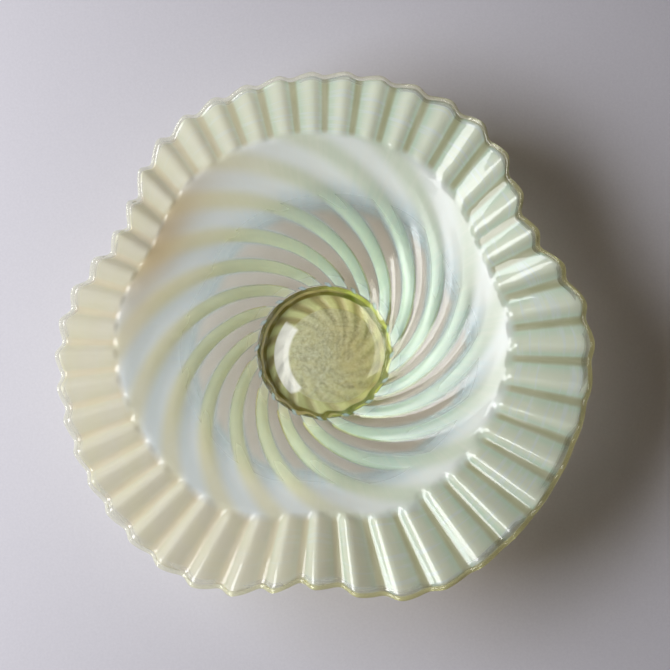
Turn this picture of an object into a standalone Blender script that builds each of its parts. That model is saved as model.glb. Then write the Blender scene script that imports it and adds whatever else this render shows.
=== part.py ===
"""Uranium glass dish: a swirled bowl with a crimped three-lobed frill, on a ground foot pad.

Every form is written about the foot's vertical axis; FOOT_CENTRE then moves it so that the middle of
the plan is at the origin. Azimuths are in degrees, anticlockwise from +X. The dish stands on Z = 0.
"""
import math

import bmesh
import bpy
from mathutils import Vector

# ---- driving dimensions (metres, degrees) ----
FOOT_CENTRE = (-0.0014, -0.0051)   # foot axis, from the middle of the plan
GAP = 0.0003                       # fused joints are left this far open

# foot pad
PAD_RADIUS = 0.0320
PAD_KNUCKLE = 0.0005               # half the wave of its edge, one knuckle between two ribs
GROUND_OUTER = 0.0290              # ground ring it stands on
GROUND_INNER = 0.0240
PONTIL_DEPTH = 0.0032              # hollow left by the pontil, off the foot's axis
PONTIL_SHIFT = (0.0032, -0.0014)

# bowl
FLOOR_Z = 0.0088                   # inside floor
FLOOR_SHARE = 0.28                 # flat share of the crimp radius
CRIMP_RADIUS = 0.0910
CRIMP_CENTRE = (-0.0034, 0.0073)
CRIMP_TUCK = 0.0061                # how far the crimp line gives way at each tuck
CRIMP_Z = 0.0420
FLOOR_THICK = 0.0044
WALL_THICK = 0.0032
FRILL_THICK = 0.0026
DIP_DEPTH = 0.0018                 # the inner face stays flat out to the foot's edge ...
DIP_RADIUS = 0.0335                # ... where the glass is thinnest
DIP_INNER = 0.0045
DIP_OUTER = 0.0120

# rim of the frill, three lobes between three tucks
RIM_RADIUS = 0.1243
RIM_CENTRE = (0.0018, 0.0002)
RIM_OVAL = 0.0016
RIM_OVAL_AT = 82.0
RIM_Z = 0.0480
RIM_TILT = 0.0040                  # the rim stands higher on one side
RIM_TILT_AT = -30.0
TUCKS_AT = (28.0, 150.0, 268.5)
TUCK_WIDTH = 17.0
TUCK_DEPTH = 0.0157
TUCK_RISE = 0.0030

# pleats
PLEATS = 44
PLEAT_DEPTH = 0.0017               # half the height of a pleat at the lip
PLEAT_START = 4.8
PLEAT_SPREAD = 6.3                 # pleats stand wider apart on one side
PLEAT_SPREAD_AT = 56.0
PLEAT_TUCK = 1.2
PLEAT_SKEW = 20.0                  # each pleat rises slowly on one side and falls quickly on the other
SCALLOP = 0.0008                   # half the depth of the lip's scallops
SCALLOP_FROM = 1.3                 # place where they begin
SCALLOP_TUCKED = 1.8               # deeper near the tucks ...
SCALLOP_SPREAD = 32.0
SCALLOP_EVEN = 0.6                 # ... and shallower on one side
SCALLOP_EVEN_AT = -35.0

# rings of points in the bowl's mesh: 0 axis, 1 crimp line, 2 lip; and the phases within one pleat
WALL_PLACES = (0.14, 0.27, 0.38, 0.52, 0.68, 0.84)
FRILL_PLACES = (1.0, 1.12, 1.34, 1.58, 1.8, 2.0)
PLEAT_PHASES = (-144.0, -80.0, -15.0, 60.0, 135.0)

# ribs
RIBS = 16
RIB_WIDTH = 0.0055                 # at the inner end
RIB_SPREAD = 0.3                   # share by which it widens outward
RIB_HEIGHT = 0.0017
RIB_CLEAR = 0.00045                # GAP, and the bend of the wall between two rings of points
RIB_FROM = 0.0336                  # radius at the inner end
RIB_TO_SHARE = 0.94                # outer end, as a share of the crimp radius
RIB_START = -13.0                  # azimuth of the first rib's inner end
RIB_TURN_LOG = 35.5                # swirl: degrees for each e-fold of radius ...
RIB_TURN_LINEAR = 720.0            # ... and for each metre

# lip trail
TRAIL_WIDTH = 0.0024
TRAIL_THICK = 0.0026


def wave(azimuth, centre, turns=1):
    return math.cos(math.radians(turns * (azimuth - centre)))


def side_step(azimuth, centre):
    """How far a curve about a shifted centre stands from the foot axis in one direction."""
    angle = math.radians(azimuth)
    return centre[0] * math.cos(angle) + centre[1] * math.sin(angle)


def bell(azimuth, middle, width):
    away = (azimuth - middle + 180.0) % 360.0 - 180.0
    return math.exp(-(away / width) ** 2)


def tuck(azimuth, width=TUCK_WIDTH):
    return sum(bell(azimuth, middle, width) for middle in TUCKS_AT)


def crimp_radius(azimuth):
    return CRIMP_RADIUS + side_step(azimuth, CRIMP_CENTRE) - CRIMP_TUCK * tuck(azimuth)


def rim_radius(azimuth):
    oval = RIM_OVAL * wave(azimuth, RIM_OVAL_AT, 2)
    return RIM_RADIUS + side_step(azimuth, RIM_CENTRE) + oval - TUCK_DEPTH * tuck(azimuth)


def rim_height(azimuth):
    return RIM_Z + RIM_TILT * wave(azimuth, RIM_TILT_AT) + TUCK_RISE * tuck(azimuth)


def profile(azimuth, place):
    """Radius and height of the middle surface: place 0 axis, 1 crimp line, 2 lip."""
    crimp = crimp_radius(azimuth)
    if place <= 1.0:
        past_floor = (place - FLOOR_SHARE) / (1.0 - FLOOR_SHARE)
        up = 0.5 * (past_floor + math.sqrt(past_floor ** 2 + 0.004))
        rise = 0.9 * up + 0.1 * up * up
        return place * crimp, FLOOR_Z + (CRIMP_Z - FLOOR_Z) * rise
    along = place - 1.0
    reach = rim_radius(azimuth) - crimp
    climb = rim_height(azimuth) - CRIMP_Z
    radius = crimp + reach * along
    return radius, CRIMP_Z + climb * along * (1.2 - 0.2 * along)


def thickness(place):
    if place <= 1.0:
        return FLOOR_THICK + (WALL_THICK - FLOOR_THICK) * place
    return WALL_THICK + (FRILL_THICK - WALL_THICK) * min(1.0, (place - 1.0) * 3.0)


def slope_at(azimuth, place):
    """Unit vector along the profile, going outward, as (radial, up)."""
    low = profile(azimuth, max(0.0, place - 0.01))
    high = profile(azimuth, min(2.0, place + 0.01))
    along = Vector((high[0] - low[0], high[1] - low[1]))
    return along.normalized()


def pleat_azimuth(count):
    """Azimuth at which the given number of pleats has been passed."""
    azimuth = base = PLEAT_START + 360.0 * count / PLEATS
    for _ in range(20):
        azimuth = base + PLEAT_SPREAD * wave(azimuth, PLEAT_SPREAD_AT) - PLEAT_TUCK * wave(azimuth, 0.0, 3)
    return azimuth


def pleat_height(phase, place):
    """Height of a pleat above the middle surface; it starts just outside the crimp line."""
    if place <= 1.0:
        return 0.0
    along = place - 1.0
    start = min(1.0, along / 0.13)
    grown = start * start * (3.0 - 2.0 * start) * (0.72 + 0.28 * along)
    return PLEAT_DEPTH * grown * crest(phase)


def crest(phase):
    """1 on a pleat's crest and -1 in the groove beside it."""
    skewed = phase - PLEAT_SKEW * (1.0 - wave(phase, 0.0))
    return wave(skewed, 0.0)


def scallop(azimuth, phase, place):
    """How far the glass near the lip reaches out past a plain curve, or stays back from it."""
    near_lip = max(0.0, (place - SCALLOP_FROM) / (2.0 - SCALLOP_FROM))
    grown = near_lip * near_lip * (3.0 - 2.0 * near_lip)
    tucked = 1.0 + SCALLOP_TUCKED * tuck(azimuth, SCALLOP_SPREAD)
    even = 1.0 - SCALLOP_EVEN * bell(azimuth, SCALLOP_EVEN_AT, SCALLOP_SPREAD)
    return SCALLOP * tucked * even * grown * crest(phase)


def inner_dip(azimuth, place):
    """How much lower the inner face lies near the foot's edge."""
    from_dip = min(place, 1.0) * crimp_radius(azimuth) - DIP_RADIUS
    width = DIP_INNER if from_dip < 0.0 else DIP_OUTER
    return DIP_DEPTH * math.exp(-(from_dip / width) ** 2)


def surface(azimuth, place, lift, out=0.0):
    """A point on the bowl, lifted off the middle surface towards the inside and moved outward along it."""
    radius, height = profile(azimuth, place)
    along = slope_at(azimuth, place)
    radius += along.x * out - along.y * lift
    height += along.y * out + along.x * lift
    angle = math.radians(azimuth)
    x = FOOT_CENTRE[0] + radius * math.cos(angle)
    y = FOOT_CENTRE[1] + radius * math.sin(angle)
    return Vector((x, y, height))


def frill_directions():
    """All azimuths of the frill's mesh with the pleat phase at each."""
    directions = []
    for pleat in range(PLEATS):
        for phase in PLEAT_PHASES:
            directions.append((pleat_azimuth(pleat + phase / 360.0), phase))
    return directions


def make_material(name, colour, roughness, alpha):
    material = bpy.data.materials.new(name)
    material.use_nodes = True
    shader = material.node_tree.nodes["Principled BSDF"]
    shader.inputs["Base Color"].default_value = (*colour, 1.0)
    shader.inputs["Roughness"].default_value = roughness
    shader.inputs["Metallic"].default_value = 0.0
    shader.inputs["Alpha"].default_value = alpha
    return material


def finish_object(name, mesh_data, material):
    bmesh.ops.recalc_face_normals(mesh_data, faces=mesh_data.faces)
    mesh = bpy.data.meshes.new(name)
    mesh_data.to_mesh(mesh)
    mesh_data.free()
    mesh.materials.append(material)
    for polygon in mesh.polygons:
        polygon.use_smooth = True
    part = bpy.data.objects.new(name, mesh)
    bpy.context.scene.collection.objects.link(part)
    return part


def bridge(mesh_data, first, second):
    """Quads between two closed rings of the same count."""
    count = len(first)
    for i in range(count):
        j = (i + 1) % count
        mesh_data.faces.new((first[i], first[j], second[j], second[i]))


def bridge_double(mesh_data, coarse, fine):
    """Triangles between a closed ring and one with twice as many points."""
    count = len(coarse)
    for i in range(count):
        j = (i + 1) % count
        a, b, c = fine[2 * i], fine[2 * i + 1], fine[(2 * i + 2) % (2 * count)]
        mesh_data.faces.new((coarse[i], a, b))
        mesh_data.faces.new((coarse[i], b, coarse[j]))
        mesh_data.faces.new((coarse[j], b, c))


def cap(mesh_data, ring, centre):
    middle = mesh_data.verts.new(centre)
    for i in range(len(ring)):
        mesh_data.faces.new((ring[i], ring[(i + 1) % len(ring)], middle))


def bowl_skin(mesh_data, directions, side):
    """One face of the bowl (side +1 inside, -1 outside); returns the ring at the lip."""
    rings = []
    for place in WALL_PLACES:
        ring = []
        for azimuth, _ in directions[::2]:
            lift = side * thickness(place) / 2.0
            if side > 0.0:
                lift -= inner_dip(azimuth, place)
            ring.append(mesh_data.verts.new(surface(azimuth, place, lift)))
        rings.append(ring)
    floor = Vector((FOOT_CENTRE[0], FOOT_CENTRE[1], FLOOR_Z + side * thickness(0.0) / 2.0))
    cap(mesh_data, rings[0], floor)
    for low, high in zip(rings, rings[1:]):
        bridge(mesh_data, low, high)
    inner_ring = rings[-1]
    rings = []
    for place in FRILL_PLACES:
        half = side * thickness(place) / 2.0
        rings.append([mesh_data.verts.new(surface(azimuth, place, half + pleat_height(phase, place),
                                                  scallop(azimuth, phase, place)))
                      for azimuth, phase in directions])
    bridge_double(mesh_data, inner_ring, rings[0])
    for low, high in zip(rings, rings[1:]):
        bridge(mesh_data, low, high)
    return rings[-1]


def make_bowl(directions, material):
    mesh_data = bmesh.new()
    inside = bowl_skin(mesh_data, directions, 1.0)
    outside = bowl_skin(mesh_data, directions, -1.0)
    bridge(mesh_data, inside, outside)
    finish_object("bowl", mesh_data, material)


def make_lip_trail(directions, material):
    """A clear thread of glass laid along the lip, following every pleat."""
    half = TRAIL_THICK / 2.0
    outline = ((GAP, -half), (GAP, half), (0.6 * TRAIL_WIDTH, half),
               (TRAIL_WIDTH, 0.0), (0.6 * TRAIL_WIDTH, -half))
    mesh_data = bmesh.new()
    loops = [[] for _ in outline]
    for azimuth, phase in directions:
        base = surface(azimuth, 2.0, pleat_height(phase, 2.0), scallop(azimuth, phase, 2.0))
        along = slope_at(azimuth, 2.0)
        angle = math.radians(azimuth)
        outward = Vector((math.cos(angle), math.sin(angle), 0.0))
        forward = outward * along.x + Vector((0.0, 0.0, along.y))
        upward = outward * -along.y + Vector((0.0, 0.0, along.x))
        for loop, (out, up) in zip(loops, outline):
            loop.append(mesh_data.verts.new(base + forward * out + upward * up))
    for i in range(len(loops)):
        bridge(mesh_data, loops[i], loops[(i + 1) % len(loops)])
    finish_object("lip_trail", mesh_data, material)


def rib_azimuth(first, radius):
    turned = RIB_TURN_LOG * math.log(radius / RIB_FROM) + RIB_TURN_LINEAR * (radius - RIB_FROM)
    return first + turned


def make_rib(number, material):
    """A rod under the wall, flat against it and round below, following the swirl."""
    first = RIB_START + 360.0 * number / RIBS
    end_azimuth = rib_azimuth(first, 0.085)
    last = RIB_TO_SHARE * crimp_radius(end_azimuth)
    half = RIB_WIDTH / 2.0
    section = ((-half, 0.0), (half, 0.0), (0.8 * half, 0.7 * RIB_HEIGHT), (0.0, RIB_HEIGHT),
               (-0.8 * half, 0.7 * RIB_HEIGHT))
    stations = 13
    mesh_data = bmesh.new()
    rings = []
    for step in range(stations):
        share = step / (stations - 1)
        radius = RIB_FROM + (last - RIB_FROM) * share
        end = min(share, 1.0 - share) * (stations - 1)
        taper = (0.5, 0.88, 1.0)[min(2, int(end))]
        azimuth = rib_azimuth(first, radius)
        ahead = rib_azimuth(first, radius + 0.001)
        lean = math.atan2(0.001, radius * math.radians(ahead - azimuth))
        ring = []
        for across, down in section:
            wide = taper * across * (1.0 + RIB_SPREAD * share)
            ring_radius = radius + wide * math.cos(lean)
            turn = math.degrees(-wide * math.sin(lean) / radius)
            ring.append(rib_point(mesh_data, azimuth + turn, ring_radius, down * taper))
        rings.append(ring)
    for low, high in zip(rings, rings[1:]):
        bridge(mesh_data, low, high)
    mesh_data.faces.new(rings[0])
    mesh_data.faces.new(rings[-1])
    finish_object("opal_rib_%02d" % (number + 1), mesh_data, material)


def rib_point(mesh_data, azimuth, radius, down):
    return mesh_data.verts.new(under_wall(azimuth, radius, RIB_CLEAR + down))


def under_wall(azimuth, radius, down):
    """A point below the wall's flats, which run straight from one ring of points to the next."""
    place = radius / crimp_radius(azimuth)
    places = (0.0,) + WALL_PLACES + (1.0,)
    i = max(k for k in range(len(places) - 1) if places[k] <= place)
    share = (place - places[i]) / (places[i + 1] - places[i])
    ends = [surface(azimuth, ring_place, -(thickness(ring_place) / 2.0 + down))
            for ring_place in (places[i], places[i + 1])]
    return ends[0].lerp(ends[1], share)


def make_foot_pad(material):
    """The pad: fitted under the bowl, a ring to stand on, a pontil hollow, an edge with knuckles."""
    count = 4 * RIBS
    edge = ((PAD_RADIUS, 0.0062), (PAD_RADIUS, 0.0034), (PAD_RADIUS - 0.0014, 0.0010))
    hollow = ((1.0, 0.0), (0.80, 0.0013), (0.45, 0.0026))
    mesh_data = bmesh.new()
    rings = []
    for place in WALL_PLACES[:2]:
        rings.append([surface(360.0 * i / count, place, -(thickness(place) / 2.0 + GAP))
                      for i in range(count)])
    rings.append([under_wall(360.0 * i / count, PAD_RADIUS - 0.0022, GAP) for i in range(count)])
    for radius, height in edge:
        rings.append([foot_point(360.0 * i / count, knuckled(radius, 360.0 * i / count), height)
                      for i in range(count)])
    rings.append([foot_point(360.0 * i / count, GROUND_OUTER, 0.0) for i in range(count)])
    for share, height in hollow:
        rings.append([foot_point(360.0 * i / count, GROUND_INNER * share, height, PONTIL_SHIFT)
                      for i in range(count)])
    rings = [[mesh_data.verts.new(point) for point in ring] for ring in rings]
    for low, high in zip(rings, rings[1:]):
        bridge(mesh_data, low, high)
    cap(mesh_data, rings[0], under_wall(0.0, 0.0, GAP))
    cap(mesh_data, rings[-1], foot_point(0.0, 0.0, PONTIL_DEPTH, PONTIL_SHIFT))
    finish_object("foot_pad", mesh_data, material)


def knuckled(radius, azimuth):
    return radius + PAD_KNUCKLE * (wave(azimuth, RIB_START + 180.0 / RIBS, RIBS) - 1.0)


def foot_point(azimuth, radius, height, shift=(0.0, 0.0)):
    angle = math.radians(azimuth)
    x = FOOT_CENTRE[0] + shift[0] + radius * math.cos(angle)
    y = FOOT_CENTRE[1] + shift[1] + radius * math.sin(angle)
    return Vector((x, y, height))


def main():
    for old in list(bpy.data.objects):
        bpy.data.objects.remove(old, do_unlink=True)
    directions = frill_directions()
    make_bowl(directions, make_material("bowl_glass", (0.74, 0.76, 0.62), 0.06, 0.45))
    make_lip_trail(directions, make_material("trail_glass", (0.68, 0.72, 0.30), 0.05, 0.45))
    make_foot_pad(make_material("foot_glass", (0.45, 0.49, 0.20), 0.12, 0.55))
    for number in range(RIBS):
        shade = make_material("rib_glass_%02d" % (number + 1), (0.62, 0.70, 0.50), 0.08, 0.9)
        make_rib(number, shade)


main()
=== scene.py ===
import math

import bmesh
import bpy
import numpy as np
from mathutils import Matrix, Vector


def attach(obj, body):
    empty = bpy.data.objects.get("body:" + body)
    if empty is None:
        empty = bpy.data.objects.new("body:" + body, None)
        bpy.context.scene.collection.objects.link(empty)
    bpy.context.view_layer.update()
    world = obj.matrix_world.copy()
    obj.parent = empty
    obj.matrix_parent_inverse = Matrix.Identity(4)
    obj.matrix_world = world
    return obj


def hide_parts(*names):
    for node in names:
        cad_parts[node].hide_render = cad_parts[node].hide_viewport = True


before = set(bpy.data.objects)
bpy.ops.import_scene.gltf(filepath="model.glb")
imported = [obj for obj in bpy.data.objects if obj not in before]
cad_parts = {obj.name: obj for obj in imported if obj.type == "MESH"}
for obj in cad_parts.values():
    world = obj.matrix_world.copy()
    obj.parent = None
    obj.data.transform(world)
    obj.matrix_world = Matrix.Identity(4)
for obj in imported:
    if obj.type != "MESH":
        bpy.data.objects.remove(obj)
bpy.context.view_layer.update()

# ---- the CAD part's forms, in metres and degrees, about the foot's own axis ----
FOOT_CENTRE = np.array([-0.0014, -0.0051, 0.0])
PAD_RADIUS = 0.0320
GROUND_OUTER = 0.0290
GROUND_INNER = 0.0240
PONTIL_DEPTH = 0.0032
PONTIL_SHIFT = (0.0032, -0.0014)
FLOOR_Z = 0.0088
FLOOR_SHARE = 0.28
CRIMP_RADIUS = 0.0910
CRIMP_CENTRE = (-0.0034, 0.0073)
CRIMP_TUCK = 0.0061
CRIMP_Z = 0.0420
FLOOR_THICK = 0.0044
WALL_THICK = 0.0032
FRILL_THICK = 0.0026
DIP_DEPTH = 0.0018
DIP_RADIUS = 0.0335
DIP_INNER = 0.0045
DIP_OUTER = 0.0120
RIM_RADIUS = 0.1243
RIM_CENTRE = (0.0018, 0.0002)
RIM_OVAL = 0.0016
RIM_OVAL_AT = 82.0
RIM_Z = 0.0480
RIM_TILT = 0.0040
RIM_TILT_AT = -30.0
TUCKS_AT = (28.0, 150.0, 268.5)
TUCK_WIDTH = 17.0
TUCK_DEPTH = 0.0157
TUCK_RISE = 0.0030
PLEATS = 44
PLEAT_DEPTH = 0.0017
PLEAT_START = 4.8
PLEAT_SPREAD = 6.3
PLEAT_SPREAD_AT = 56.0
PLEAT_TUCK = 1.2
PLEAT_SKEW = 0.35                  # radians
SCALLOP = 0.0008
SCALLOP_FROM = 1.3
SCALLOP_TUCKED = 1.8
SCALLOP_SPREAD = 32.0
SCALLOP_EVEN = 0.6
SCALLOP_EVEN_AT = -35.0
RIBS = 16
RIB_WIDTH = 0.0055
RIB_SPREAD = 0.3
RIB_HEIGHT = 0.0017
RIB_FROM = 0.0336
RIB_START = -13.0
RIB_TURN_LOG = 35.5
RIB_TURN_LINEAR = 720.0
TRAIL_WIDTH = 0.0024
TRAIL_THICK = 0.0026

# ---- detail that only the visual model has ----
PLEAT_TUCKED = 0.2                 # the pleats are this much deeper at the tucks
PLEAT_SOFT = 0.66                  # and this much shallower on one side
PLEAT_SOFT_AT = 80.0
PLEAT_SOFT_WIDTH = 75.0
PLEAT_NARROW_AT = 50.0             # the crests are narrower on this side
PLEAT_NARROW_WIDTH = 50.0
RIB_TIP = 0.0010                   # the ribs' tips run this much further in, up to the foot
RIB_LAMP_SIDE_AT = 185.0                # the ribs are painted yellower on the lamp's side, as light coming through them
RIPPLE = 0.00060                   # swell of the inner skin over each rib
KNUCKLE_GLINT_RADIUS = 0.0326            # radius of pale glints painted between the ribs' tips, beside the foot
HAZE_FROM = 0.68                   # places in the wall where the haze starts and is full
HAZE_FULL = 0.91
HAZE_LEAN = 0.08                   # the haze starts lower on one side
HAZE_LEAN_AT = 150.0
SHEER = 0.22                       # how much thinner the opal is on the sheer side
SHEER_AT = -30.0
SHEER_WIDTH = 42.0
LAMP_SIDE_AT = 192.0                    # the lamp's side: the whole bowl is painted creamier here, as light, and greener on the far side, as shade
AMBER = 0.75                       # painted amber shade inside the crimp line, where light comes through the steep glass
AMBER_AT = 147.0
AMBER_WIDTH = 24.0
AMBER_PLACE = 0.99
AMBER_DEPTH = 0.11
GROOVE_END_SHADE = 0.15                       # painted shade at the grooves' inner ends, in amber
GROOVE_END_SHADE_AT = 180.0
GROOVE_END_SHADE_WIDTH = 75.0
KNOB = 0.22                        # swelling at each pleat's inner end
KNOB_PLACE = 0.13
KNOB_LENGTH = 0.07
KNOB_FAINT = 0.8                   # how much fainter it is on one side
KNOB_FAINT_AT = 185.0
KNOB_FAINT_WIDTH = 70.0
GLINT_AT = 184.0                    # painted highlight: a crescent glint on the ground ring, beside the pontil hollow
GLINT_ENDS = 0.74                   # cosine of its half angle
SKIN_GAP = 0.00042                 # from the bowl's outside to a rib or to the foot

# ---- stage ----
LAMP_AT = (-0.60, 0.015, 0.59)
LAMP_TARGET = (0.0, 0.0, 0.02)
LAMP_SIZE = (0.72, 0.48)
LAMP_POWER = 10.0
LAMP_COLOUR = (0.97, 0.98, 1.0)
ROOM_COLOUR = (1.0, 0.46, 0.24, 1.0)
ROOM_STRENGTH = 0.036
FLOOR_SIDE = 2.5
FLOOR_DROP = 0.0002
CAMERA_TILT = math.radians(8.0)
CAMERA_LEAN = (0.447, -0.894)      # plan direction in which it tilts
CAMERA_DISTANCE = 0.95
CAMERA_AIM = Vector((0.0031, 0.0044, 0.0))
CAMERA_ANGLE = math.radians(19.56)
SENSOR_WIDTH = 36.0

PER_PLEAT = 16
rng = np.random.default_rng(7)
PLEAT_GROWTH = rng.uniform(0.85, 1.15, PLEATS)     # each pleat's own depth
PLEAT_LATE = rng.uniform(-0.03, 0.03, PLEATS)      # and where it starts


def wave(azimuth, centre, turns=1):
    return np.cos(np.radians(turns * (azimuth - centre)))


def smooth_span(value, low, high):
    share = np.clip((value - low) / (high - low), 0.0, 1.0)
    return share * share * (3.0 - 2.0 * share)


def side_step(azimuth, centre):
    angle = np.radians(azimuth)
    return centre[0] * np.cos(angle) + centre[1] * np.sin(angle)


def bell(azimuth, middle, width):
    away = (azimuth - middle + 180.0) % 360.0 - 180.0
    return np.exp(-(away / width) ** 2)


def tuck(azimuth, width=TUCK_WIDTH):
    return sum(bell(azimuth, middle, width) for middle in TUCKS_AT)


def crimp_radius(azimuth):
    return CRIMP_RADIUS + side_step(azimuth, CRIMP_CENTRE) - CRIMP_TUCK * tuck(azimuth)


def rim_radius(azimuth):
    oval = RIM_OVAL * wave(azimuth, RIM_OVAL_AT, 2)
    return RIM_RADIUS + side_step(azimuth, RIM_CENTRE) + oval - TUCK_DEPTH * tuck(azimuth)


def rim_height(azimuth):
    return RIM_Z + RIM_TILT * wave(azimuth, RIM_TILT_AT) + TUCK_RISE * tuck(azimuth)


def profile(azimuth, place):
    """Radius and height of the middle surface: place 0 axis, 1 crimp line, 2 lip."""
    azimuth, place = np.broadcast_arrays(np.asarray(azimuth, float), np.asarray(place, float))
    crimp = crimp_radius(azimuth)
    past_floor = (np.minimum(place, 1.0) - FLOOR_SHARE) / (1.0 - FLOOR_SHARE)
    up = 0.5 * (past_floor + np.sqrt(past_floor ** 2 + 0.004))
    rise = 0.9 * up + 0.1 * up * up
    along = np.maximum(place - 1.0, 0.0)
    reach = rim_radius(azimuth) - crimp
    climb = rim_height(azimuth) - CRIMP_Z
    radius = np.minimum(place, 1.0) * crimp + reach * along
    height = FLOOR_Z + (CRIMP_Z - FLOOR_Z) * rise + climb * along * (1.2 - 0.2 * along)
    return radius, height


def thickness(place):
    place = np.asarray(place, float)
    low = FLOOR_THICK + (WALL_THICK - FLOOR_THICK) * np.minimum(place, 1.0)
    return low + (FRILL_THICK - WALL_THICK) * np.clip((place - 1.0) * 3.0, 0.0, 1.0)


def slope_at(azimuth, place):
    """Unit vector along the profile, going outward, as (radial, up)."""
    low = profile(azimuth, np.maximum(0.0, place - 0.02))
    high = profile(azimuth, np.minimum(2.0, place + 0.02))
    out, up = high[0] - low[0], high[1] - low[1]
    size = np.hypot(out, up)
    return out / size, up / size


def pleat_azimuth(count):
    base = PLEAT_START + 360.0 * count / PLEATS
    azimuth = base
    for _ in range(20):
        azimuth = base + PLEAT_SPREAD * wave(azimuth, PLEAT_SPREAD_AT) - PLEAT_TUCK * wave(azimuth, 0.0, 3)
    return azimuth


def skewed(count):
    """Phase within a pleat in radians: 0 on the crest, pi in the groove, which lies nearer to one side."""
    turn = 2.0 * np.pi * (count - np.floor(count + 0.5))
    return turn - PLEAT_SKEW * (1.0 - np.cos(turn))


def pleat_height(count, place):
    """Height of a pleat above the middle surface; rounded crests and broad grooves."""
    number = np.round(count).astype(int) % PLEATS
    share = count - np.floor(count + 0.5)
    near = 0.5 - 0.5 * np.cos(np.pi * np.clip((np.abs(share) - 0.3) / 0.4, 0.0, 1.0))
    growth = PLEAT_GROWTH[number] * (1 - near) + near
    along = place - 1.0 + PLEAT_LATE[number] * (1 - near)
    start = np.clip(along / 0.13, 0.0, 1.0)
    grown = start * start * (3.0 - 2.0 * start) * (0.72 + 0.28 * np.clip(along, 0.0, 1.0))
    turn = skewed(count)
    azimuth = pleat_azimuth(count)
    deeper = (1.0 + PLEAT_TUCKED * tuck(azimuth)) * (
        1.0 - PLEAT_SOFT * bell(azimuth, PLEAT_SOFT_AT, PLEAT_SOFT_WIDTH))
    narrow = 0.08 + 0.16 * bell(azimuth, PLEAT_NARROW_AT, PLEAT_NARROW_WIDTH)
    knob = KNOB * np.exp(-((along - KNOB_PLACE) / KNOB_LENGTH) ** 2) * smooth_span(np.cos(turn), 0.0, 1.0)
    knob = knob * (1.0 - KNOB_FAINT * bell(azimuth, KNOB_FAINT_AT, KNOB_FAINT_WIDTH))
    shape = np.cos(turn) + narrow * np.cos(2.0 * turn) + knob
    return PLEAT_DEPTH * deeper * growth * grown * shape


def surface(azimuth, place, lift):
    """Points of the bowl, lifted off the middle surface towards the inside; the last axis is x, y, z."""
    radius, height = profile(azimuth, place)
    out, up = slope_at(azimuth, place)
    radius = radius - up * lift
    height = height + out * lift
    angle = np.radians(azimuth)
    points = np.stack([radius * np.cos(angle), radius * np.sin(angle), height * np.ones_like(angle)], -1)
    return points + FOOT_CENTRE


def forward_at(azimuth, place):
    """Unit vectors along the profile, going outward, as x, y, z."""
    out, up = slope_at(azimuth, place)
    angle = np.radians(azimuth)
    return np.stack([out * np.cos(angle), out * np.sin(angle), up * np.ones_like(angle)], -1)


def scallop(count, place):
    """How far the glass near the lip reaches out past a plain curve, or stays back from it."""
    azimuth = pleat_azimuth(count)
    tucked = 1.0 + SCALLOP_TUCKED * tuck(azimuth, SCALLOP_SPREAD)
    even = 1.0 - SCALLOP_EVEN * bell(azimuth, SCALLOP_EVEN_AT, SCALLOP_SPREAD)
    depth = SCALLOP * tucked * even * smooth_span(place, SCALLOP_FROM, 2.0)
    return (depth * np.cos(skewed(count)))[:, None]


def inner_dip(azimuth, place):
    """How much lower the inner face lies near the foot's edge, to stay flat out to it."""
    from_dip = np.minimum(place, 1.0) * crimp_radius(azimuth) - DIP_RADIUS
    width = np.where(from_dip < 0.0, DIP_INNER, DIP_OUTER)
    return DIP_DEPTH * np.exp(-(from_dip / width) ** 2)


# ---- mesh helpers ----
def ring_mesh(name, rings, caps=(None, None), wrap=False):
    """A closed mesh from rings of points (rings, count, 3), capped by single points or wrapped round."""
    rings = np.asarray(rings)
    rows, count, _ = rings.shape
    verts = rings.reshape(-1, 3)
    index = np.arange(rows * count).reshape(rows, count)
    following = np.roll(index, -1, axis=1)
    if wrap:
        upper, upper_following = np.roll(index, -1, axis=0), np.roll(following, -1, axis=0)
        quads = np.stack([index, following, upper_following, upper], -1).reshape(-1, 4)
    else:
        quads = np.stack([index[:-1], following[:-1], following[1:], index[1:]], -1).reshape(-1, 4)
    faces = quads.tolist()
    for end, centre in zip((0, -1), caps):
        if centre is None:
            continue
        verts = np.vstack([verts, centre])
        middle = len(verts) - 1
        for a, b in zip(index[end], following[end]):
            faces.append([middle, int(b), int(a)] if end == 0 else [middle, int(a), int(b)])
    mesh = bpy.data.meshes.new(name)
    mesh.from_pydata(verts.tolist(), [], faces)
    mesh.validate()
    mesh.shade_smooth()
    piece = bpy.data.objects.new(name, mesh)
    bpy.context.scene.collection.objects.link(piece)
    return piece


def store(piece, name, values):
    attribute = piece.data.attributes.new(name, "FLOAT", "POINT")
    attribute.data.foreach_set("value", np.asarray(values, np.float32).ravel())


def faces_outward(piece):
    mesh_data = bmesh.new()
    mesh_data.from_mesh(piece.data)
    bmesh.ops.recalc_face_normals(mesh_data, faces=mesh_data.faces)
    mesh_data.to_mesh(piece.data)
    mesh_data.free()


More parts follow.
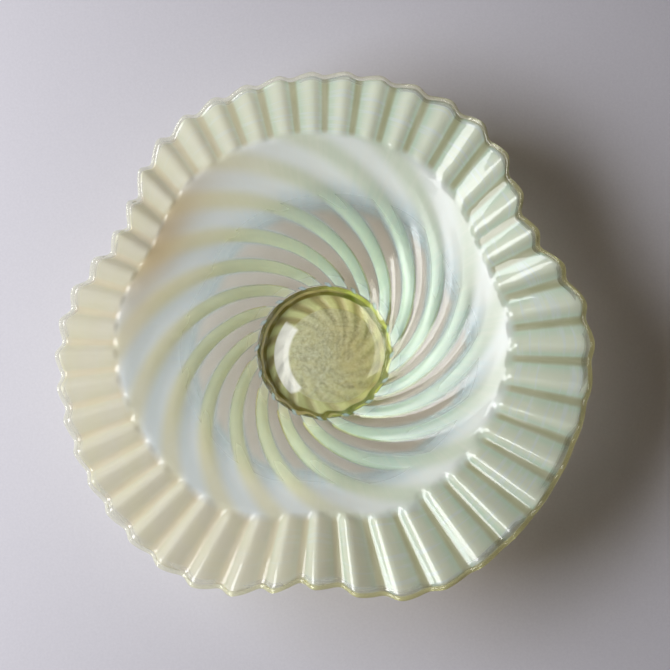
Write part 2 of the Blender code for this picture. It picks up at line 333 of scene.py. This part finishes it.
# ---- materials ----
class Nodes:
    def __init__(self, name):
        self.material = bpy.data.materials.new(name)
        self.material.use_nodes = True
        self.tree = self.material.node_tree
        self.tree.nodes.clear()
        self.output = self.tree.nodes.new("ShaderNodeOutputMaterial")

    def add(self, kind, **settings):
        node = self.tree.nodes.new(kind)
        for key, value in settings.items():
            setattr(node, key, value)
        return node

    def link(self, source, target):
        self.tree.links.new(source, target)

    def attribute(self, name):
        return self.add("ShaderNodeAttribute", attribute_name=name).outputs["Fac"]

    def noise(self, scale, detail=4.0, roughness=0.55, distortion=0.0, vector=None):
        node = self.add("ShaderNodeTexNoise")
        node.inputs["Scale"].default_value = scale
        node.inputs["Detail"].default_value = detail
        node.inputs["Roughness"].default_value = roughness
        node.inputs["Distortion"].default_value = distortion
        if vector is None:
            vector = self.add("ShaderNodeTexCoord").outputs["Object"]
        self.link(vector, node.inputs["Vector"])
        return node.outputs["Fac"]

    def math(self, operation, first, second=None, clamp=False):
        node = self.add("ShaderNodeMath", operation=operation, use_clamp=clamp)
        for socket, value in zip(node.inputs, (first, second)):
            if value is None:
                continue
            if isinstance(value, (int, float)):
                socket.default_value = value
            else:
                self.link(value, socket)
        return node.outputs[0]

    def span(self, value, low, high, to_low=0.0, to_high=1.0, smooth=False):
        node = self.add("ShaderNodeMapRange")
        node.interpolation_type = "SMOOTHSTEP" if smooth else "LINEAR"
        node.inputs["From Min"].default_value = low
        node.inputs["From Max"].default_value = high
        node.inputs["To Min"].default_value = to_low
        node.inputs["To Max"].default_value = to_high
        self.link(value, node.inputs["Value"])
        return node.outputs["Result"]

    def mix_value(self, factor, first, second):
        node = self.add("ShaderNodeMix", data_type="FLOAT")
        for socket, value in zip(node.inputs[:1] + node.inputs[2:4], (factor, first, second)):
            if isinstance(value, (int, float)):
                socket.default_value = value
            else:
                self.link(value, socket)
        return node.outputs[0]

    def vector(self, x=0.0, y=0.0, z=0.0):
        node = self.add("ShaderNodeCombineXYZ")
        for socket, value in zip(node.inputs, (x, y, z)):
            if isinstance(value, (int, float)):
                socket.default_value = value
            else:
                self.link(value, socket)
        return node.outputs["Vector"]

    def polar(self):
        """Azimuth in radians and radius about the foot's axis."""
        parts = self.add("ShaderNodeSeparateXYZ")
        self.link(self.add("ShaderNodeTexCoord").outputs["Object"], parts.inputs["Vector"])
        x = self.math("SUBTRACT", parts.outputs["X"], float(FOOT_CENTRE[0]))
        y = self.math("SUBTRACT", parts.outputs["Y"], float(FOOT_CENTRE[1]))
        square = self.math("ADD", self.math("MULTIPLY", x, x), self.math("MULTIPLY", y, y))
        return self.math("ARCTAN2", y, x), self.math("MAXIMUM", self.math("SQRT", square), 0.003)

    def swirl(self, azimuth, radius):
        """Where a point lies between ribs: 0 on a rib, 0.5 half way to the next."""
        logarithm = self.math("LOGARITHM", self.math("DIVIDE", radius, RIB_FROM), math.e)
        linear = self.math("MULTIPLY", self.math("SUBTRACT", radius, RIB_FROM), RIB_TURN_LINEAR)
        turned = self.math("ADD", self.math("MULTIPLY", logarithm, RIB_TURN_LOG), linear)
        degrees = self.math("MULTIPLY", azimuth, math.degrees(1.0))
        start = self.math("SUBTRACT", self.math("SUBTRACT", degrees, RIB_START), turned)
        share = self.math("MULTIPLY", start, RIBS / 360.0)
        return self.math("ABSOLUTE", self.math("SUBTRACT", share, self.math("ROUND", share)))

    def mix_colour(self, factor, first, second):
        node = self.add("ShaderNodeMix", data_type="RGBA")
        for socket, value in ((node.inputs[0], factor), (node.inputs[6], first), (node.inputs[7], second)):
            if isinstance(value, (int, float)):
                socket.default_value = value
            elif isinstance(value, tuple):
                socket.default_value = (*value, 1.0)
            else:
                self.link(value, socket)
        return node.outputs[2]

    def bump(self, height, strength, distance):
        node = self.add("ShaderNodeBump")
        node.inputs["Strength"].default_value = strength
        node.inputs["Distance"].default_value = distance
        self.link(height, node.inputs["Height"])
        return node.outputs["Normal"]

    def principled(self, **values):
        node = self.add("ShaderNodeBsdfPrincipled")
        for key, value in values.items():
            socket = node.inputs[key.replace("_", " ")]
            if isinstance(value, (int, float)):
                socket.default_value = value
            elif isinstance(value, tuple):
                socket.default_value = (*value, 1.0) if len(value) == 3 else value
            else:
                self.link(value, socket)
        return node

    def mix_shader(self, factor, first, second):
        node = self.add("ShaderNodeMixShader")
        if isinstance(factor, (int, float)):
            node.inputs[0].default_value = factor
        else:
            self.link(factor, node.inputs[0])
        self.link(first.outputs[0], node.inputs[1])
        self.link(second.outputs[0], node.inputs[2])
        return node

    def through_for_lamps(self, shader, tint, amount):
        """Lamplight passes the glass, tinted; amount is how much of it."""
        clear = self.add("ShaderNodeBsdfTransparent")
        if isinstance(tint, tuple):
            clear.inputs["Color"].default_value = (*tint, 1.0)
        else:
            self.link(tint, clear.inputs["Color"])
        shadow = self.add("ShaderNodeLightPath").outputs["Is Shadow Ray"]
        return self.mix_shader(self.math("MULTIPLY", shadow, amount), shader, clear)

    def done(self, shader):
        self.link(shader.outputs[0], self.output.inputs["Surface"])
        return self.material


def opal_skin():
    """The bowl's inner skin: clear in the wall, struck opal over the ribs and in the frill."""
    n = Nodes("opal_skin")
    haze = n.attribute("haze")
    place = n.attribute("place")
    crest = n.attribute("crest")
    amber = n.attribute("amber")
    lamp_side = n.attribute("lamp_side")
    azimuth, radius = n.polar()
    share = n.swirl(azimuth, radius)
    crisp = n.span(share, 0.29, 0.19, smooth=True)
    blurred = n.span(share, 0.42, 0.06, smooth=True)
    rib = n.mix_value(n.span(place, 0.45, 0.80, smooth=True), crisp, blurred)
    rib = n.math("MULTIPLY", rib, n.span(radius, 0.0323, 0.0330, smooth=True))
    at_tip = n.span(radius, 0.0400, 0.0340, 0.30, 0.65, smooth=True)
    at_tail = n.span(place, 0.5, 0.95, 0.30, 0.75, smooth=True)
    rib = n.math("MULTIPLY", rib, n.math("MAXIMUM", at_tip, at_tail))
    # pale glints painted at the foot's knuckles, between the ribs' tips
    from_knuckle = n.math("ABSOLUTE", n.math("SUBTRACT", radius, KNUCKLE_GLINT_RADIUS))
    knuckle = n.math("MULTIPLY", n.span(from_knuckle, 0.0013, 0.0005), n.span(share, 0.38, 0.45))
    milky = n.math("MAXIMUM", n.math("MAXIMUM", haze, rib), n.math("MULTIPLY", knuckle, 0.35))

    lengthwise = n.vector(n.math("MULTIPLY", azimuth, 34.0), n.math("MULTIPLY", place, 1.6))
    crosswise = n.vector(n.math("MULTIPLY", azimuth, 2.2), n.math("MULTIPLY", place, 15.0), 4.0)
    along = n.noise(1.0, detail=4.0, roughness=0.6, vector=lengthwise)
    across = n.noise(1.0, detail=3.0, roughness=0.6, vector=crosswise)
    in_frill = n.span(place, 1.02, 1.15)
    # creamier colours painted on the lamp's side and greener ones on the far side, as light and shade
    struck_colour = n.mix_colour(lamp_side, (0.91, 0.97, 0.91), (1.0, 1.0, 1.0))
    hazy_colour = n.mix_colour(n.span(haze, 0.15, 0.95), (0.62, 0.88, 1.0), struck_colour)
    rib_colour = n.mix_colour(lamp_side, (0.62, 0.74, 0.56), (0.88, 0.82, 0.50))
    hazy_colour = n.mix_colour(rib, hazy_colour, rib_colour)
    # grooves painted darker as shade, crests painted lighter as light
    groove_shade_colour = n.mix_colour(lamp_side, (0.44, 0.48, 0.28), (0.77, 0.70, 0.49))
    flat_colour = n.mix_colour(lamp_side, (0.64, 0.86, 0.68), (0.77, 0.76, 0.58))
    ridge_colour = n.mix_colour(lamp_side, (0.86, 0.97, 0.78), (0.84, 0.83, 0.67))
    frill_colour = n.mix_colour(n.span(crest, -0.5, 0.8, smooth=True), flat_colour, ridge_colour)
    frill_colour = n.mix_colour(n.span(crest, -0.4, -0.95, smooth=True), frill_colour, groove_shade_colour)
    milk = n.mix_colour(in_frill, hazy_colour, frill_colour)
    milk = n.mix_colour(n.span(along, 0.40, 0.72, 0.0, 0.30), milk, (0.96, 0.95, 0.84))
    streak = n.math("MULTIPLY", n.span(across, 0.52, 0.62, 0.0, 0.7), n.span(crest, -0.9, -0.1))
    streak = n.math("MULTIPLY", streak, n.span(lamp_side, 0.0, 1.0, 1.0, 0.1))
    milk = n.mix_colour(n.math("MULTIPLY", streak, in_frill), milk, (0.84, 0.97, 0.97))
    # painted amber shade: backlit glass inside the crimp line and shade at the grooves' inner ends
    milk = n.mix_colour(amber, milk, (0.56, 0.46, 0.24))
    unstruck = n.mix_colour(in_frill, (0.95, 0.96, 0.90), (0.84, 0.87, 0.62))
    colour = n.mix_colour(n.span(milky, 0.0, 0.12), unstruck, milk)
    ripples = n.noise(70.0, detail=2.0, distortion=0.5)
    body = n.principled(
        Base_Color=colour,
        Roughness=n.span(milky, 0.0, 0.5, 0.0, 0.28),
        Transmission_Weight=n.span(milky, 0.0, 1.0, 1.0, 0.06),
        Coat_Weight=n.span(place, 0.93, 1.08, 0.20, 1.0),
        Coat_Roughness=0.025,
        IOR=1.38,
        Normal=n.bump(ripples, 0.25, 0.0008),
    )
    glow = n.add("ShaderNodeBsdfTranslucent")
    frill_shine = n.mix_colour(lamp_side, (0.84, 0.74, 0.50), (0.97, 0.90, 0.72))
    shine = n.mix_colour(in_frill, (0.84, 0.98, 1.0), n.mix_colour(0.2, frill_shine, frill_colour))
    shine = n.mix_colour(n.math("MULTIPLY", rib, 0.8), shine, (0.95, 0.90, 0.62))
    # the painted amber shade also tints the glow
    n.link(n.mix_colour(amber, shine, (0.90, 0.66, 0.34)), glow.inputs["Color"])
    glow_share = n.mix_value(in_frill, n.mix_value(lamp_side, 0.32, 0.62), n.mix_value(lamp_side, 0.36, 0.46))
    struck = n.mix_shader(n.math("MULTIPLY", milky, glow_share), body, glow)
    clear_tint = n.mix_colour(lamp_side, (0.86, 0.70, 0.54), (0.86, 0.79, 0.79))
    struck_tint = n.mix_colour(lamp_side, (1.0, 0.66, 0.40), (0.92, 0.88, 0.86))
    tint = n.mix_colour(n.span(milky, 0.1, 0.6), clear_tint, struck_tint)
    struck_through = n.mix_value(lamp_side, 0.03, n.mix_value(in_frill, 0.85, 0.55))
    through = n.mix_value(n.span(milky, 0.0, 0.55), 0.94, struck_through)
    return n.done(n.through_for_lamps(struck, tint, through))


def clear_skin():
    n = Nodes("clear_skin")
    ripples = n.noise(45.0, detail=2.0, distortion=0.4)
    body = n.principled(
        Base_Color=(0.96, 0.97, 0.91),
        Roughness=0.0,
        Transmission_Weight=1.0,
        IOR=1.3,
        Normal=n.bump(ripples, 0.25, 0.0006),
    )
    return n.done(n.through_for_lamps(body, (0.95, 0.95, 0.89), 0.95))


def rib_glass():
    n = Nodes("rib_glass")
    fade = n.attribute("fade")
    edge = n.attribute("edge")
    cloud = n.noise(120.0, detail=3.0, distortion=0.8)
    azimuth, _ = n.polar()
    # ribs painted yellower on the lamp's side, as light coming through them
    from_lamp_side = n.math("SUBTRACT", azimuth, math.radians(RIB_LAMP_SIDE_AT))
    lamp_side = n.span(n.math("COSINE", from_lamp_side), -0.5, 0.8, smooth=True)
    pale = n.mix_colour(lamp_side, (0.60, 0.72, 0.54), (0.74, 0.71, 0.40))
    deep = n.mix_colour(lamp_side, (0.50, 0.62, 0.42), (0.64, 0.60, 0.29))
    colour = n.mix_colour(n.span(cloud, 0.3, 0.7), deep, pale)
    clear = n.span(edge, 0.5, 1.0, 0.10, 0.6)
    gone = n.math("MAXIMUM", n.span(fade, 0.0, 0.9, smooth=True), n.span(edge, 0.62, 0.96, smooth=True))
    body = n.principled(
        Base_Color=colour,
        Roughness=0.25,
        Transmission_Weight=clear,
        IOR=1.2,
    )
    glow = n.add("ShaderNodeBsdfTranslucent")
    glow.inputs["Color"].default_value = (0.80, 0.81, 0.52, 1.0)
    mixed = n.mix_shader(gone, n.mix_shader(0.22, body, glow), n.add("ShaderNodeBsdfTransparent"))
    return n.done(n.through_for_lamps(mixed, (0.80, 0.68, 0.42), 0.35))


def trail_glass():
    n = Nodes("trail_glass")
    ripples = n.noise(90.0, detail=2.0)
    azimuth, _ = n.polar()
    # the lip is painted paler on the lamp's side and darker olive on the far side, as light and shade
    far_side_shade = n.span(n.math("COSINE", n.math("ADD", azimuth, 0.5)), -0.4, 0.8, smooth=True)
    body = n.principled(
        Base_Color=n.mix_colour(far_side_shade, (0.94, 0.94, 0.84), (0.80, 0.80, 0.46)),
        Roughness=0.02,
        Transmission_Weight=0.88,
        IOR=1.45,
        Normal=n.bump(ripples, 0.3, 0.0004),
    )
    return n.done(n.through_for_lamps(body, (0.86, 0.86, 0.66), 0.9))


def pad_clear():
    n = Nodes("pad_clear")
    ripples = n.noise(80.0, detail=2.0)
    body = n.principled(
        Base_Color=(0.95, 0.96, 0.88),
        Roughness=0.02,
        Transmission_Weight=1.0,
        IOR=1.2,
        Normal=n.bump(ripples, 0.2, 0.0004),
    )
    return n.done(n.through_for_lamps(body, (0.96, 0.97, 0.90), 0.95))


def edge_line(n, azimuth, radius):
    """Colour of the foot's edge seen from above: a thin painted highlight line between painted shade lines,
    green, and painted amber on the lamp's side where light comes through.
    """
    line = n.span(radius, PAD_RADIUS - 0.0028, PAD_RADIUS - 0.0002)
    highlight_line = n.span(n.math("ABSOLUTE", n.math("SUBTRACT", line, 0.5)), 0.24, 0.12, smooth=True)
    lamp_side_amber = n.mix_colour(highlight_line, (0.26, 0.23, 0.06), (0.74, 0.64, 0.34))
    green = n.mix_colour(n.span(line, 0.45, 0.70, smooth=True), (0.12, 0.17, 0.03), (0.44, 0.58, 0.12))
    return n.mix_colour(n.span(n.math("COSINE", azimuth), 0.35, -0.35), green, lamp_side_amber)


def pad_edge():
    """The foot's side: dense dark green painted as shade where the glass is seen edge on, with painted
    highlight lines, and painted amber on the lamp's side.
    """
    n = Nodes("pad_edge")
    azimuth, radius = n.polar()
    body = n.principled(
        Base_Color=edge_line(n, azimuth, radius),
        Roughness=0.12,
        Transmission_Weight=0.25,
        IOR=1.5,
    )
    return n.done(n.through_for_lamps(body, (0.6, 0.66, 0.3), 0.5))


def pad_ground():
    """The foot's underside: a ground ring, a rough pontil hollow and the twisted ends of the ribs."""
    n = Nodes("pad_ground")
    ground = n.attribute("ground")
    painted_glint = n.attribute("painted_glint")
    azimuth, radius = n.polar()
    share = n.swirl(azimuth, radius)
    grit = n.noise(520.0, detail=6.0, roughness=0.75)
    lumps = n.noise(120.0, detail=3.0, distortion=1.2)
    rib = n.span(share, 0.44, 0.10, smooth=True)
    # painted shadow seen through the glass between the ribs, darker on one side
    dark_side = n.span(n.math("COSINE", n.math("SUBTRACT", azimuth, math.radians(GLINT_AT - 24.0))), -0.3, 0.7)
    between = n.mix_colour(dark_side, (0.44, 0.44, 0.27), (0.34, 0.31, 0.16))
    twisted = n.mix_colour(rib, between, (0.58, 0.63, 0.38))
    disc = n.mix_colour(n.span(grit, 0.36, 0.66), (0.26, 0.27, 0.19), (0.52, 0.54, 0.45))
    disc = n.mix_colour(n.span(lumps, 0.4, 0.7, 0.0, 0.4), disc, (0.62, 0.60, 0.36))
    edge = n.span(radius, 0.010, 0.024)
    disc = n.mix_colour(n.math("MULTIPLY", n.math("MULTIPLY", rib, edge), 0.35), disc, (0.64, 0.70, 0.50))
    # the foot's edge lines of painted highlight and shade, carried onto the ground ring
    rim_line = n.span(radius, PAD_RADIUS - 0.0036, PAD_RADIUS - 0.0031)
    twisted = n.mix_colour(rim_line, twisted, edge_line(n, azimuth, radius))
    colour = n.mix_colour(n.span(ground, 0.15, 0.5), twisted, disc)
    # painted highlight: the crescent glint beside the pontil hollow
    colour = n.mix_colour(painted_glint, colour, (0.84, 0.87, 0.98))
    height = n.math("ADD", n.math("MULTIPLY", grit, 0.4), n.math("MULTIPLY", lumps, 0.7))
    height = n.math("ADD", height, n.math("MULTIPLY", n.math("MULTIPLY", rib, edge), 0.8))
    body = n.principled(
        Base_Color=colour,
        Roughness=n.span(ground, 0.0, 1.0, 0.2, 0.6),
        Transmission_Weight=n.span(n.math("MAXIMUM", ground, painted_glint), 0.0, 1.0, 0.25, 0.05),
        IOR=1.5,
        Normal=n.bump(height, 0.6, 0.0012),
    )
    glow = n.add("ShaderNodeBsdfTranslucent")
    n.link(colour, glow.inputs["Color"])
    mixed = n.mix_shader(0.2, body, glow)
    return n.done(n.through_for_lamps(mixed, (0.70, 0.72, 0.45), 0.6))


# ---- bowl ----
def swirl_turn(radius):
    """Degrees a rib has turned by the time it reaches a radius."""
    radius = np.maximum(radius, 0.016)
    return RIB_TURN_LOG * np.log(radius / RIB_FROM) + RIB_TURN_LINEAR * (radius - RIB_FROM)


def swirl_share(azimuth, radius):
    """Where a point lies between ribs: 0 on a rib, 0.5 half way to the next."""
    share = (azimuth - RIB_START - swirl_turn(radius)) * RIBS / 360.0
    return np.abs(share - np.round(share))


def frill_counts():
    return np.arange(PLEATS * PER_PLEAT) / PER_PLEAT


def haze_amount(azimuth, place):
    """How far the wall and the frill have struck: 0 clear, 1 opal, with a clear lip and a sheer side."""
    haze = smooth_span(place + HAZE_LEAN * wave(azimuth, HAZE_LEAN_AT), HAZE_FROM, HAZE_FULL)
    lip = smooth_span(2.0 - place, 0.02, 0.10)
    sheer = 1.0 - SHEER * bell(azimuth, SHEER_AT, SHEER_WIDTH) * smooth_span(place, 1.05, 1.4)
    return haze * (0.18 + 0.82 * lip) * sheer


def make_bowl():
    counts = frill_counts()
    lip_azimuth = pleat_azimuth(counts)
    steps = 30
    wall = np.linspace(0.05, 1.0, 2 * steps, endpoint=False)
    frill = 1.0 + np.linspace(0.0, 1.0, steps) ** 1.15
    places = np.concatenate([wall, frill])
    rings, inner = [], []
    marks = {"haze": [], "place": [], "crest": [], "amber": [], "lamp_side": []}

    def add_ring(place, side, out=0.0):
        azimuth = lip_azimuth
        lift = side * thickness(place) / 2.0 + pleat_height(counts, place)
        if place < 1.0:
            azimuth = lip_azimuth + swirl_turn(place * CRIMP_RADIUS) - swirl_turn(CRIMP_RADIUS)
            share = swirl_share(azimuth, place * crimp_radius(azimuth))
            reach = smooth_span(place, 0.34, 0.45) * (1.0 - smooth_span(place, 0.85, 1.0))
            lift = lift + (side > 0) * RIPPLE * reach * np.cos(2.0 * np.pi * share)
        if side > 0:
            lift = lift - inner_dip(azimuth, place)
        reach_out = forward_at(azimuth, place) * (out + scallop(counts, place))
        rings.append(surface(azimuth, place, lift) + reach_out)
        share = counts - np.floor(counts + 0.5)
        from_crimp = (place - 1.0) * np.ones_like(counts)
        # painted shade at the grooves' inner ends
        groove_end_shade = GROOVE_END_SHADE * np.exp(-((place - 1.10) / 0.07) ** 2) * bell(azimuth, GROOVE_END_SHADE_AT, GROOVE_END_SHADE_WIDTH)
        groove_end_shade = groove_end_shade * smooth_span(np.cos(2 * np.pi * share), 0.2, -0.9)
        # painted amber shade of backlit glass inside the crimp line
        backlit_amber = AMBER * bell(azimuth, AMBER_AT, AMBER_WIDTH)
        backlit_amber = backlit_amber * np.exp(-((place - AMBER_PLACE) / AMBER_DEPTH) ** 2)
        marks["haze"].append(haze_amount(azimuth, place))
        marks["place"].append(place * np.ones_like(counts))
        marks["crest"].append(np.cos(skewed(counts)) * smooth_span(from_crimp, 0.0, 0.12))
        marks["amber"].append(backlit_amber + groove_end_shade)
        # the lamp's side, where the bowl's colours are painted lighter and creamier, as light
        marks["lamp_side"].append(smooth_span(wave(azimuth, LAMP_SIDE_AT), -0.35, 0.75))
        inner.append(side > 0)

    for place in places:
        add_ring(place, 1.0)
    half = FRILL_THICK / 2.0
    for turn in (30.0, 60.0, 90.0, 120.0, 150.0):
        angle = math.radians(turn)
        add_ring(2.0, math.cos(angle), out=0.35 * half * math.sin(angle))
    for place in places[::-1]:
        add_ring(place, -1.0)

    low_centre = FOOT_CENTRE + np.array([0, 0, FLOOR_Z - FLOOR_THICK / 2.0])
    high_centre = FOOT_CENTRE + np.array([0, 0, FLOOR_Z + FLOOR_THICK / 2.0])
    bowl = ring_mesh("bowl_glass_shell", rings, caps=(high_centre, low_centre))
    for name, rows in marks.items():
        store(bowl, name, np.append(np.array(rows).ravel(), [0.0, 0.0]))
    bowl.data.materials.append(opal_skin())
    bowl.data.materials.append(clear_skin())
    count = len(counts)
    inner_rows = sum(inner)
    material = np.zeros(len(bowl.data.polygons), np.int32)
    quads = (len(rings) - 1) * count
    row = np.arange(quads) // count
    material[:quads] = row >= inner_rows - 1
    material[quads:] = np.repeat([0, 1], count)
    bowl.data.polygons.foreach_set("material_index", material)
    faces_outward(bowl)
    return bowl


def make_trail():
    counts = frill_counts()
    azimuth = pleat_azimuth(counts)
    forward = forward_at(azimuth, 2.0)
    base = surface(azimuth, 2.0, pleat_height(counts, 2.0)) + forward * scallop(counts, 2.0)
    upward = surface(azimuth, 2.0, 1.0) - surface(azimuth, 2.0, 0.0)
    rings = []
    width, thick = TRAIL_WIDTH, TRAIL_THICK
    for turn in np.linspace(0.0, 360.0, 12, endpoint=False):
        a = math.radians(turn)
        out = width * 0.5 + 0.5 * (width - 0.0003) * math.copysign(abs(math.cos(a)) ** 0.7, math.cos(a))
        lift = 0.5 * thick * math.copysign(abs(math.sin(a)) ** 0.7, math.sin(a))
        rings.append(base + forward * (out + 0.00015) + upward * lift)
    trail = ring_mesh("lip_thread", rings, wrap=True)
    trail.data.materials.append(trail_glass())
    faces_outward(trail)
    return trail


# ---- ribs ----
def rib_azimuth(first, radius):
    return first + swirl_turn(radius)


def make_rib(number, material):
    first = RIB_START + 360.0 * number / RIBS
    end_azimuth = rib_azimuth(first, 0.085)
    last = 0.985 * crimp_radius(end_azimuth)
    steps = 60
    share = np.linspace(0.0, 1.0, steps)
    start = RIB_FROM - RIB_TIP
    radius = start + (last - start) * share
    azimuth = rib_azimuth(first, radius)
    ahead = rib_azimuth(first, radius + 0.0005)
    lean = np.arctan2(0.0005, radius * np.radians(ahead - azimuth))
    distance = share * (last - start) / np.sin(lean).mean()
    nose = np.clip(distance / 0.0018, 0.0, 1.0)
    tail = np.clip((distance[-1] - distance) / 0.012, 0.0, 1.0)
    taper = np.maximum(np.sqrt(1 - (1 - nose) ** 2), 0.05) * np.maximum(np.sqrt(1 - (1 - tail) ** 2), 0.05)
    wide = 0.5 * RIB_WIDTH * (1.0 + RIB_SPREAD * share) * taper
    around = np.radians(np.linspace(0.0, 360.0, 16, endpoint=False))
    rings = []
    for i in range(steps):
        across = wide[i] * np.cos(around)
        down = np.where(np.sin(around) > 0, 0.0, -np.sin(around)) ** 0.8 * RIB_HEIGHT * taper[i]
        ring_radius = radius[i] + across * math.cos(lean[i])
        turn = np.degrees(-across * math.sin(lean[i]) / radius[i])
        ring_azimuth = azimuth[i] + turn
        place = ring_radius / crimp_radius(ring_azimuth)
        top = np.where(np.sin(around) > 0, 0.12 * RIB_HEIGHT * np.sin(around) * taper[i], 0.0)
        rings.append(surface(ring_azimuth, place, -(thickness(place) / 2.0 + SKIN_GAP + down - top)))
    rings = np.array(rings)
    rib = ring_mesh("opal_swirl_%02d" % (number + 1), rings, caps=(rings[0].mean(0), rings[-1].mean(0)))
    fade = np.repeat(np.clip((share - 0.68) / 0.3, 0.0, 1.0), 16)
    store(rib, "fade", np.append(fade, [0.0, 1.0]))
    store(rib, "edge", np.append(np.tile(np.abs(np.cos(around)), steps), [1.0, 1.0]))
    rib.data.materials.append(material)
    faces_outward(rib)
    return rib


# ---- foot pad ----
def make_pad():
    count = 320
    azimuth = np.arange(count) * 360.0 / count
    rows, ground, painted_glint, kinds = [], [], [], []

    def mark(kind, rough=0.0, glinted=0.0):
        kinds.append(kind)
        ground.append(np.full(count, rough))
        painted_glint.append(glinted * np.ones(count))

    def foot_ring(kind, radius, height, shift=(0.0, 0.0), rough=0.0, knuckle=0.0, glinted=0.0):
        reach = radius + knuckle * (wave(azimuth, RIB_START + 180.0 / RIBS, RIBS) - 1.0)
        angle = np.radians(azimuth)
        x = shift[0] + reach * np.cos(angle)
        y = shift[1] + reach * np.sin(angle)
        rows.append(np.stack([x, y, np.full(count, height)], -1) + FOOT_CENTRE)
        mark(kind, rough, glinted)

    def under_ring(radius, gap):
        place = radius / crimp_radius(azimuth)
        rows.append(surface(azimuth, place, -(thickness(place) / 2.0 + gap)))
        mark(0)

    for radius in np.linspace(0.002, PAD_RADIUS - 0.0026, 16):
        under_ring(radius, SKIN_GAP)
    under_ring(PAD_RADIUS - 0.0016, 0.0009)
    under_ring(PAD_RADIUS - 0.0007, 0.0020)
    foot_ring(1, PAD_RADIUS, 0.0062, knuckle=0.0005)
    foot_ring(1, PAD_RADIUS, 0.0034, knuckle=0.0005)
    foot_ring(1, PAD_RADIUS - 0.0005, 0.0018, knuckle=0.0005)
    foot_ring(1, PAD_RADIUS - 0.0013, 0.0008, knuckle=0.0005)
    foot_ring(2, PAD_RADIUS - 0.0022, 0.0003, knuckle=0.0004, rough=0.1)
    foot_ring(2, GROUND_OUTER, 0.0, rough=0.1)
    # painted highlight: a crescent glint on the rim of the pontil hollow
    crescent = smooth_span(wave(azimuth, GLINT_AT), GLINT_ENDS - 0.03, GLINT_ENDS + 0.03)
    for inward in (0.25, 0.42, 0.48, 0.75, 0.95):
        radius = GROUND_OUTER + (GROUND_INNER - GROUND_OUTER) * inward
        shift = (PONTIL_SHIFT[0] * inward, PONTIL_SHIFT[1] * inward)
        foot_ring(2, radius, 0.0, shift, rough=0.1, glinted=crescent * (inward > 0.45))
    for share in np.linspace(1.0, 0.05, 40):
        height = PONTIL_DEPTH * (1.0 - share ** 2) ** 0.8
        glinted = crescent * smooth_span(share, 0.87, 0.89)
        rough = float(smooth_span(-share, -1.0, -0.95))
        foot_ring(2, GROUND_INNER * share, height, PONTIL_SHIFT, rough, glinted=glinted)
    top = surface(np.array([0.0]), np.array([0.0]), -(FLOOR_THICK / 2.0 + SKIN_GAP))[0]
    bottom = FOOT_CENTRE + np.array([PONTIL_SHIFT[0], PONTIL_SHIFT[1], PONTIL_DEPTH])
    pad = ring_mesh("foot_disc", rows, caps=(top, bottom))
    store(pad, "ground", np.append(np.array(ground).ravel(), [0.0, 1.0]))
    store(pad, "painted_glint", np.append(np.array(painted_glint).ravel(), [0.0, 0.0]))
    for material in (pad_clear(), pad_edge(), pad_ground()):
        pad.data.materials.append(material)
    slots = np.append(np.repeat(kinds[1:], count), np.repeat([0, 2], count))
    pad.data.polygons.foreach_set("material_index", slots.astype(np.int32))
    faces_outward(pad)
    return pad


def settle(piece, slot_name, *nodes):
    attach(piece, "root")
    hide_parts(*nodes)


settle(make_bowl(), "bowl_glass", "bowl")
settle(make_trail(), "trail_glass", "lip_trail")
settle(make_pad(), "foot_glass", "foot_pad")
RIB_MATERIAL = rib_glass()
for rib_number in range(RIBS):
    settle(make_rib(rib_number, RIB_MATERIAL), "rib_glass", "opal_rib_%02d" % (rib_number + 1))


# ---- stage: floor, light, camera ----
def make_floor():
    mesh = bpy.data.meshes.new("table_top")
    corners = [(-1, -1), (1, -1), (1, 1), (-1, 1)]
    mesh.from_pydata([(x * FLOOR_SIDE, y * FLOOR_SIDE, -FLOOR_DROP) for x, y in corners], [], [(0, 1, 2, 3)])
    floor = bpy.data.objects.new("table_top", mesh)
    bpy.context.scene.collection.objects.link(floor)
    n = Nodes("table_paint")
    speck = n.noise(900.0, detail=2.0)
    colour = n.mix_colour(n.span(speck, 0.3, 0.7), (0.52, 0.51, 0.555), (0.55, 0.54, 0.585))
    body = n.principled(Base_Color=colour, Roughness=0.8)
    mesh.materials.append(n.done(body))


def make_light():
    data = bpy.data.lights.new("window", "AREA")
    data.shape = "RECTANGLE"
    data.size, data.size_y = LAMP_SIZE
    data.energy = LAMP_POWER
    data.color = LAMP_COLOUR
    lamp = bpy.data.objects.new("window", data)
    lamp.location = LAMP_AT
    lamp.rotation_mode = "QUATERNION"
    lamp.rotation_quaternion = (Vector(LAMP_TARGET) - Vector(LAMP_AT)).to_track_quat("-Z", "Y")
    bpy.context.scene.collection.objects.link(lamp)


def make_camera():
    lean = math.sin(CAMERA_TILT)
    back = Vector((CAMERA_LEAN[0] * lean, CAMERA_LEAN[1] * lean, math.cos(CAMERA_TILT)))
    data = bpy.data.cameras.new("camera")
    data.sensor_width = SENSOR_WIDTH
    data.lens = 0.5 * SENSOR_WIDTH / math.tan(CAMERA_ANGLE / 2.0)
    data.clip_start, data.clip_end = 0.01, 20.0
    camera = bpy.data.objects.new("camera", data)
    camera.location = CAMERA_AIM + back * CAMERA_DISTANCE
    right = (-back).cross(Vector((0.0, 1.0, 0.0))).normalized()
    turned = Matrix((right, back.cross(right), back)).transposed()
    camera.rotation_mode = "QUATERNION"
    camera.rotation_quaternion = turned.to_quaternion()
    bpy.context.scene.collection.objects.link(camera)
    bpy.context.scene.camera = camera


def make_world():
    world = bpy.data.worlds.new("room")
    world.use_nodes = True
    background = world.node_tree.nodes["Background"]
    background.inputs["Color"].default_value = ROOM_COLOUR
    background.inputs["Strength"].default_value = ROOM_STRENGTH
    bpy.context.scene.world = world


make_floor()
make_light()
bpy.context.scene.view_settings.view_transform = "Standard"
make_camera()
make_world()
